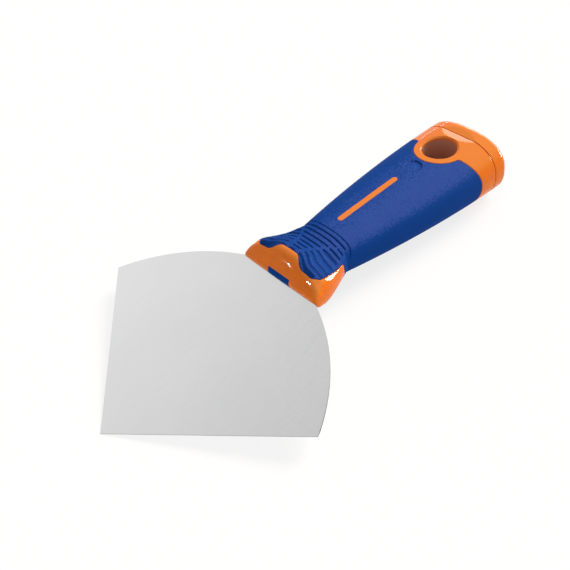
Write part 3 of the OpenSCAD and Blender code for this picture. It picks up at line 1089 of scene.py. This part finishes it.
@dataclass(frozen=True)
class Finish:
    """What the finishes share: a fine pattern that varies the gloss and stands in faint relief.

    A negative gloss spread makes the high spots of the pattern the glossier ones.
    """

    name: str
    roughness: float
    gloss_spread: float
    relief_mm: float
    relief_strength: float

    def add_surface(self, tree: Tree, colour: Node, pattern: Node, kind: dict[str, float]) -> None:
        """Adds the gloss and the relief that follow the pattern, the shader and the output.

        Args:
            tree: Node tree of the material.
            colour: Node with the colour.
            pattern: Node with the pattern.
            kind: Inputs of the shader that set metal and plastic apart.
        """
        gloss = add_node(tree, "ShaderNodeMapRange", {
            "Value": pattern, "From Min": NOISE_LOW, "From Max": NOISE_HIGH,
            "To Min": self.roughness - self.gloss_spread,
            "To Max": self.roughness + self.gloss_spread})
        relief = add_node(tree, "ShaderNodeBump", {
            "Height": pattern, "Strength": self.relief_strength, "Distance": self.relief_mm * MM})
        shader = add_node(tree, "ShaderNodeBsdfPrincipled", {
            "Base Color": colour, "Roughness": gloss, "Normal": relief, **kind})
        add_node(tree, "ShaderNodeOutputMaterial", {"Surface": shader})


@dataclass(frozen=True)
class GroundSteel(Finish):
    """Cold-rolled spring steel, finely ground: a soft grey mirror, faint lines, painted shade on
    its thin edge faces.
    """

    name: str = "ground_spring_steel"
    colour: str = "#E3E3E4"
    dark: str = "#DFDFE0"
    # Painted shade of the blade's thin edge faces.
    painted_edge_shade: str = "#434345"
    tint_stops: Pair = (0.12, 0.42)
    flat_between: Pair = (0.3, 0.7)
    roughness: float = 0.22
    gloss_spread: float = 0.01
    # Grit lines are a few hundredths wide in truth; drawn coarser so that they show.
    line_mm: float = 0.9
    line_len_mm: float = 45.0
    relief_mm: float = 0.05
    relief_strength: float = 0.004
    cloud_mm: float = 38.0

    def material(self) -> bpy.types.Material:
        """Builds the steel: noise stretched along the blade tints, dulls and marks it.

        Returns:
            The material.
        """
        material, tree = new_material(self.name)
        place = add_node(tree, "ShaderNodeTexCoord").outputs["Object"]
        across, along = per_metre(self.line_mm), per_metre(self.line_len_mm)
        stretch = add_node(tree, "ShaderNodeMapping", {
            "Vector": place, "Scale": (across, along, across)})
        lines = add_node(tree, "ShaderNodeTexNoise", {
            "Vector": stretch, "Scale": 1.0, "Detail": 3.0, "Roughness": 0.6})
        clouds = add_node(tree, "ShaderNodeTexNoise", {
            "Vector": place, "Scale": per_metre(self.cloud_mm), "Detail": 2.0})
        both = add_node(tree, "ShaderNodeMath", {0: lines, 1: clouds}, operation="MULTIPLY")
        tint = add_node(tree, "ShaderNodeValToRGB", {"Fac": both})
        for stop, at, colour in zip(tint.color_ramp.elements, self.tint_stops,
                                    (self.dark, self.colour)):
            stop.position, stop.color = at, linear(colour)
        # Painted shade: faces that look neither up nor down, the blade's edges, take the dark
        # colour.
        top, bottom = (facing(tree, (0.0, 0.0, up), self.flat_between, normal="True Normal")
                       for up in (1.0, -1.0))
        flat = add_node(tree, "ShaderNodeMath", {0: top, 1: bottom}, operation="ADD")
        faces = add_node(tree, "ShaderNodeMixRGB", {
            "Fac": flat, "Color1": linear(self.painted_edge_shade), "Color2": tint})
        self.add_surface(tree, faces, lines, {"Metallic": 1.0})
        return material


@dataclass(frozen=True)
class MouldedPolypropylene(Finish):
    """Polypropylene moulded in a polished tool: glossy, faintly streaked by flow.

    It has a painted highlight, a lighter and yellower tone, on faces that look up toward the light,
    and painted shade, a dull brown, in the bore of the hanging hole.
    """

    name: str = "moulded_polypropylene_orange"
    colour: str = "#E6751B"
    flow: str = "#E06E17"
    # Painted highlight: a lighter, yellower orange for faces that look up toward the light.
    painted_lit_tone: str = "#DF8036"
    # Colour of the painted shade in the bore of the hanging hole.
    deep: str = "#BB846D"
    flow_stops: Pair = (0.36, 0.62)
    painted_lit_between: Pair = (0.75, 0.97)
    roughness: float = 0.06
    gloss_spread: float = 0.01
    ior: float = 1.49
    specular: float = 0.12
    ripple_mm: float = 2.4
    relief_mm: float = 0.08
    relief_strength: float = 0.004
    flow_mm: float = 14.0

    def material(self) -> bpy.types.Material:
        """Builds the plastic: slow noise for flow, finer noise for ripple, shade from the mesh.

        Returns:
            The material.
        """
        material, tree = new_material(self.name)
        place = add_node(tree, "ShaderNodeTexCoord").outputs["Object"]
        flow = add_node(tree, "ShaderNodeTexNoise", {
            "Vector": place, "Scale": per_metre(self.flow_mm), "Detail": 3.0})
        ripple = add_node(tree, "ShaderNodeTexNoise", {
            "Vector": place, "Scale": per_metre(self.ripple_mm), "Detail": 2.0})
        tint = add_node(tree, "ShaderNodeValToRGB", {"Fac": flow})
        for stop, at, colour in zip(tint.color_ramp.elements, self.flow_stops,
                                    (self.flow, self.colour)):
            stop.position, stop.color = at, linear(colour)
        # Painted highlight: faces that look toward the light take the lighter, yellower tone.
        with_painted_light = add_node(tree, "ShaderNodeMixRGB", {
            "Fac": facing(tree, PAINTED_LIGHT_TOWARD, self.painted_lit_between), "Color1": tint,
            "Color2": linear(self.painted_lit_tone)})
        # Painted shade: the groove attribute, which rises to 1 inside the hole's bore, turns the
        # orange a dull brown there.
        groove = add_node(tree, "ShaderNodeAttribute", attribute_name="groove").outputs["Fac"]
        shaded = add_node(tree, "ShaderNodeMixRGB", {
            "Fac": groove, "Color1": with_painted_light, "Color2": linear(self.deep)})
        self.add_surface(tree, shaded, ripple, {
            "IOR": self.ior, "Specular IOR Level": self.specular})
        return material


@dataclass(frozen=True)
class TexturedElastomer(Finish):
    """Thermoplastic elastomer off a spark-eroded tool: a dull grained blue, with painted shade in
    the grooves.

    It has a faint painted violet sheen on faces that look up toward the light.
    """

    name: str = "spark_textured_elastomer_blue"
    colour: str = "#123F8A"
    # Painted violet sheen for faces that look up toward the light.
    painted_sheen: str = "#344F9A"
    # Colour of the painted shade in the grooves.
    deep: str = "#103879"
    painted_sheen_between: Pair = (0.82, 0.99)
    groove_shade: float = 0.8
    cloud_shade: float = 0.12
    roughness: float = 0.52
    gloss_spread: float = -0.08
    ior: float = 1.47
    specular: float = 0.01
    # The tool's grain is about a tenth of a millimetre; drawn coarser so that it shows.
    grain_mm: float = 0.8
    relief_mm: float = 0.05
    relief_strength: float = 0.5
    cloud_mm: float = 9.0

    def material(self) -> bpy.types.Material:
        """Builds the elastomer: grain in relief and gloss, slow tint, groove shade from the mesh.

        Returns:
            The material.
        """
        material, tree = new_material(self.name)
        place = add_node(tree, "ShaderNodeTexCoord").outputs["Object"]
        grain = add_node(tree, "ShaderNodeTexNoise", {
            "Vector": place, "Scale": per_metre(self.grain_mm), "Detail": 2.0, "Roughness": 0.6})
        cloud = add_node(tree, "ShaderNodeTexNoise", {
            "Vector": place, "Scale": per_metre(self.cloud_mm), "Detail": 2.0})
        base = add_node(tree, "ShaderNodeMapRange", {
            "Value": cloud, "From Min": NOISE_LOW, "From Max": NOISE_HIGH,
            "To Min": 0.0, "To Max": self.cloud_shade})
        # Painted shade in the grooves from the groove share, plus a slow random tone from the cloud
        # noise.
        groove = add_node(tree, "ShaderNodeAttribute", attribute_name="groove").outputs["Fac"]
        shade = add_node(tree, "ShaderNodeMath", {0: groove, 1: self.groove_shade, 2: base},
                         operation="MULTIPLY_ADD")
        # Painted sheen: faces that look toward the light turn a paler violet blue.
        with_painted_light = add_node(tree, "ShaderNodeMixRGB", {
            "Fac": facing(tree, PAINTED_LIGHT_TOWARD, self.painted_sheen_between, grain),
            "Color1": linear(self.colour), "Color2": linear(self.painted_sheen)})
        shaded = add_node(tree, "ShaderNodeMixRGB", {
            "Fac": shade, "Color1": with_painted_light, "Color2": linear(self.deep)})
        self.add_surface(tree, shaded, grain, {
            "IOR": self.ior, "Specular IOR Level": self.specular})
        return material


@dataclass(frozen=True)
class Softbox:
    """Small lit panel that shows only as a glint.

    It stands at a distance in a direction from a point of the handle, faces that point and is
    rolled from the level by an angle. All angles are in degrees.
    """

    name: str
    seen_at: Point
    azimuth: float
    elevation: float
    width: float
    height: float
    radiance: float
    roll: float = 0.0
    distance: float = 1.0

    def build(self, rest: Rest) -> None:
        """Adds the panel as a rectangular lamp.

        Args:
            rest: Place of the handle on the table.
        """
        turn, rise = math.radians(self.azimuth), math.radians(self.elevation)
        level = math.cos(rise)
        toward = Vector((level * math.cos(turn), level * math.sin(turn), math.sin(rise)))
        lamp = bpy.data.lights.new(self.name, "AREA")
        lamp.shape = "RECTANGLE"
        lamp.size, lamp.size_y = self.width, self.height
        lamp.energy = self.radiance * math.pi * self.width * self.height
        panel = add_object(self.name, lamp)
        panel.location = Vector(rest.to_row(np.array(self.seen_at))) + self.distance * toward
        roll = Quaternion((0, 0, 1), math.radians(self.roll))
        panel.rotation_euler = (toward.to_track_quat("Z", "Y") @ roll).to_euler()
        panel.visible_diffuse = False


@dataclass
class Studio:
    """White table under soft light from the rear, and the camera that looks down on the blade."""

    rest: Rest
    camera_mm: Point = (224.0, -150.8, 242.6)
    aim_mm: Point = (2.93, 0.92, -2.07)
    above_mm: Point = (178.1, -100.1, 315.5)
    lens: float = 52.73
    sensor: float = 36.0
    key_from: Point = (0.06, 0.77, 0.635)
    key_strength: float = 3.3
    key_colour: str = "#FFF4E6"
    key_spread: float = 30.0
    fill: float = 0.58
    white: str = "#FFFFFF"
    bright_side: Point = (-1.0, 0.0, 0.0)
    bright_between: Pair = (0.5, 0.76)
    mirror_levels: Pair = (0.7, 1.06)
    table_colour: str = "#F4F4F3"
    table_glow: float = 0.8
    table_half: float = 3.0
    softboxes: tuple[Softbox, ...] = (
        Softbox("ear_box", (19.0, 17.0, 4.0), 69.0, 9.0, 0.28, 0.36, 60.0),
        Softbox("rim_strip", (15.0, 123.0, 10.0), 97.0, 10.0, 1.0, 0.24, 8.0),
        Softbox("nick_box", (0.0, 114.0, 15.0), 124.0, 20.0, 0.6, 0.17, 4.8, roll=-52.0),
        Softbox("front_pane", (3.9, 3.8, 8.4), -128.5, 12.5, 0.012, 0.03, 400.0),
        Softbox("front_box", (17.4, 3.2, 6.5), -113.0, 30.0, 0.3, 0.03, 170.0, roll=59.0),
        Softbox("left_strip", (-13.3, 109.2, 13.5), 144.0, 9.0, 0.4, 0.014, 16.0),
    )

    def light_paths(self, tree: Tree) -> Node:
        """Adds nodes that give 1 to camera, glossy and transmission rays.

        Args:
            tree: Node tree of the floor or the world.

        Returns:
            The node with the value.
        """
        path = add_node(tree, "ShaderNodeLightPath").outputs
        seen = add_node(tree, "ShaderNodeMath", {
            0: path["Is Camera Ray"], 1: path["Is Glossy Ray"]}, operation="MAXIMUM")
        return add_node(tree, "ShaderNodeMath", {
            0: seen, 1: path["Is Transmission Ray"]}, operation="MAXIMUM")

    def add_floor(self) -> None:
        """Adds the table top, near white, which shows white with a faint shadow."""
        half = self.table_half
        mesh = bpy.data.meshes.new("table_top")
        mesh.from_pydata([(-half, -half, 0), (half, -half, 0), (half, half, 0), (-half, half, 0)],
                         [], [(0, 1, 2, 3)])
        floor = add_object("table_top", mesh)
        material, tree = new_material("matt_white_table")
        matt = add_node(tree, "ShaderNodeBsdfDiffuse", {"Color": linear(self.table_colour)})
        glow = add_node(tree, "ShaderNodeEmission", {"Color": linear(self.white), "Strength": 1.0})
        part = add_node(tree, "ShaderNodeMath", {0: self.light_paths(tree), 1: self.table_glow},
                        operation="MULTIPLY")
        both = add_node(tree, "ShaderNodeMixShader", {0: part, 1: matt, 2: glow})
        add_node(tree, "ShaderNodeOutputMaterial", {"Surface": both})
        mesh.materials.append(material)

    def add_world(self) -> None:
        """Adds the room: a white backdrop with an even fill, greyer to the right in mirrors."""
        world = bpy.data.worlds.new("white_room")
        bpy.context.scene.world = world
        world.use_nodes = True
        tree = world.node_tree
        tree.nodes.clear()
        place = add_node(tree, "ShaderNodeTexCoord").outputs["Generated"]
        toward = add_node(tree, "ShaderNodeVectorMath", {0: place, 1: self.bright_side},
                          operation="DOT_PRODUCT").outputs["Value"]
        level = add_node(tree, "ShaderNodeMapRange", {
            "Value": toward, "From Min": self.bright_between[0],
            "From Max": self.bright_between[1], "To Min": self.mirror_levels[0],
            "To Max": self.mirror_levels[1]})
        direct = add_node(tree, "ShaderNodeLightPath").outputs["Is Camera Ray"]
        shown = add_node(tree, "ShaderNodeMath", {0: level, 1: direct}, operation="MAXIMUM")
        fill, seen = (add_node(tree, "ShaderNodeBackground", {
            "Color": linear(self.white), "Strength": strength}) for strength in (self.fill, shown))
        both = add_node(tree, "ShaderNodeMixShader", {0: self.light_paths(tree), 1: fill, 2: seen})
        add_node(tree, "ShaderNodeOutputWorld", {"Surface": both})

    def add_key(self) -> None:
        """Adds the soft key light."""
        lamp = bpy.data.lights.new("soft_key", "SUN")
        lamp.energy = self.key_strength
        lamp.color = linear(self.key_colour)[:3]
        lamp.angle = math.radians(self.key_spread)
        key = add_object("soft_key", lamp)
        key.rotation_euler = Vector(self.key_from).to_track_quat("Z", "Y").to_euler()
        key.visible_glossy = False

    def add_camera(self) -> None:
        """Adds the camera; its place, its aim and a point above it in the picture turn it."""
        lens = bpy.data.cameras.new("camera")
        lens.lens, lens.sensor_width = self.lens, self.sensor
        camera = add_object("camera", lens)
        place, aim, above = (Vector(point) for point in self.rest.to_row(
            np.array([self.camera_mm, self.aim_mm, self.above_mm])))
        back = (place - aim).normalized()
        right = (above - place).cross(back).normalized()
        turn = Matrix((right, back.cross(right), back)).transposed().to_4x4()
        camera.matrix_world = Matrix.Translation(place) @ turn
        bpy.context.scene.camera = camera

    def build(self) -> None:
        """Builds the whole studio."""
        bpy.context.scene.view_settings.view_transform = "Standard"
        self.add_floor()
        self.add_world()
        self.add_key()
        for softbox in self.softboxes:
            softbox.build(self.rest)
        self.add_camera()


@dataclass
class PuttyKnife:
    """The whole knife: ground blade, core, grip, plug, cap and inlay."""

    form: HandleForm
    rest: Rest
    per_quarter: int = 90
    plug_colour: str = "#0B3F86"
    plug_grain: float = 0.1

    def build(self) -> None:
        """Dresses the blade, and builds and dresses every other piece."""
        form = self.form
        angles = form.column_angles(self.per_quarter)
        nick = NailNick(form.seam_y, form.butt_h / 2)
        orange = MouldedPolypropylene().material()
        blue = TexturedElastomer().material()
        plug_blue = TexturedElastomer("smooth_elastomer_blue", colour=self.plug_colour,
                                      relief_strength=self.plug_grain).material()
        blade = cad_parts["blade"]
        blade.data.materials.clear()
        blade.data.materials.append(GroundSteel().material())
        LOG.info("blade: ground steel on the frame's own node")
        for piece, material in ((CoreMoulding(form, angles, nick), orange),
                                (SoftGrip(form, angles), blue), (WindowPlug(form), plug_blue),
                                (EndCap(form, angles, nick), orange), (InlayBar(form), orange)):
            piece.build(self.rest, material)


def main() -> None:
    """Builds the studio and the knife."""
    logging.basicConfig(level=logging.INFO, format="%(name)s: %(message)s")
    form = HandleForm()
    rest = Rest(form)
    Studio(rest).build()
    PuttyKnife(form, rest).build()


if __name__ == "__main__":
    main()
